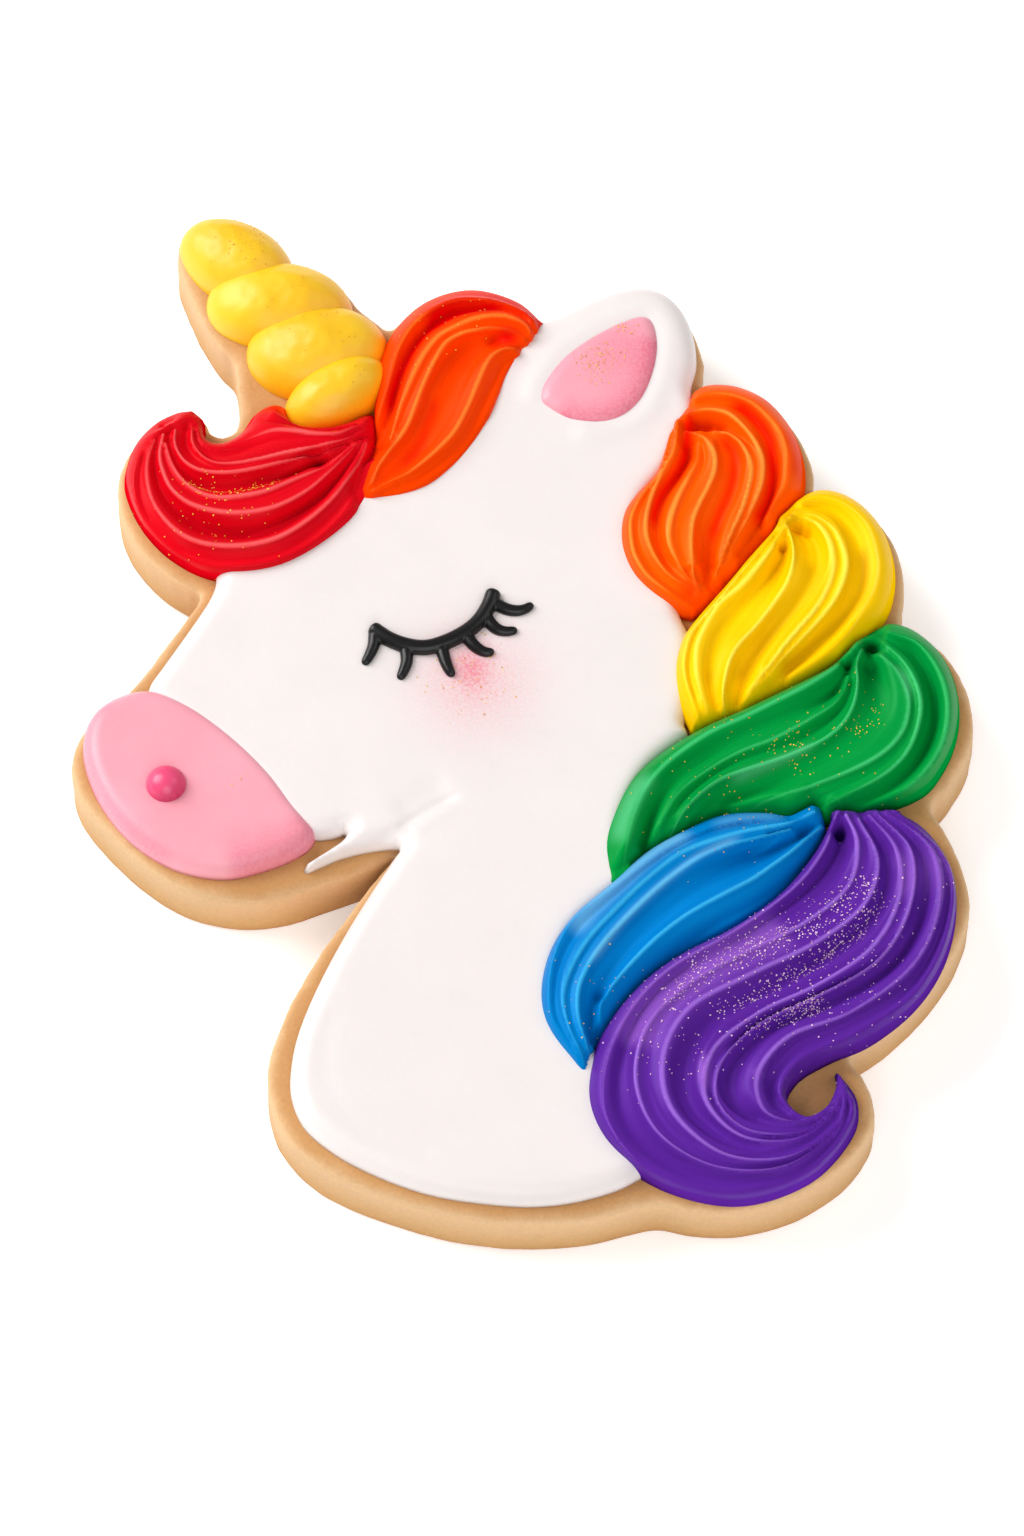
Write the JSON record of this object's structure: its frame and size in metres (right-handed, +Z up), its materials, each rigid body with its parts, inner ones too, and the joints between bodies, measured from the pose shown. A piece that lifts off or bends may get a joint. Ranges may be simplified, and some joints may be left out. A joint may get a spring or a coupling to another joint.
{
  "type": "iced sugar cookie",
  "caption": "Flat sugar cookie shaped as a unicorn's head in profile, flooded in white icing, with a ridged rainbow mane, beaded yellow horn and piped closed eye.",
  "frame": {"origin": "centre of the bounding box on the flat underside of the biscuit", "axes": "+Z up through the biscuit with the icing on top, +Y along the head from the neck's cut edge towards the horn and ear, +X towards the mane, so the muzzle faces -X"},
  "size_m": [0.0814, 0.1018, 0.011],
  "materials": {
    "baked_dough": "dry baked sugar dough, matte and finely porous",
    "white_icing": "set royal icing, smooth, satin",
    "pink_icing": "set royal icing, smooth, satin",
    "deep_pink_icing": "set royal icing, glossy drop",
    "black_icing": "piped royal icing, satin",
    "horn_yellow_icing": "set royal icing beads, glossy",
    "red_icing": "ridged piped icing, glossy, with fine gold glitter",
    "forelock_orange_icing": "ridged piped icing, glossy",
    "mane_orange_icing": "ridged piped icing, glossy",
    "mane_yellow_icing": "ridged piped icing, glossy",
    "green_icing": "ridged piped icing, glossy, with fine gold glitter",
    "blue_icing": "ridged piped icing, glossy",
    "purple_icing": "ridged piped icing, glossy, with dense silver-pink glitter",
    "gold_glitter": "fine gold edible glitter flakes, sparkling",
    "silver_pink_glitter": "fine silver-pink edible glitter flakes, sparkling"
  },
  "bodies": {
    "root": {"biscuit": "baked_dough", "white_icing": "white_icing", "muzzle": "pink_icing", "ear_inner": "pink_icing", "nostril": "deep_pink_icing", "eyelash": "black_icing", "horn_1": "horn_yellow_icing", "horn_2": "horn_yellow_icing", "horn_3": "horn_yellow_icing", "horn_4": "horn_yellow_icing", "forelock_red": "red_icing", "forelock_orange": "forelock_orange_icing", "mane_orange": "mane_orange_icing", "mane_yellow": "mane_yellow_icing", "mane_green": "green_icing", "mane_blue": "blue_icing", "mane_purple": "purple_icing"}
  },
  "joints": []
}
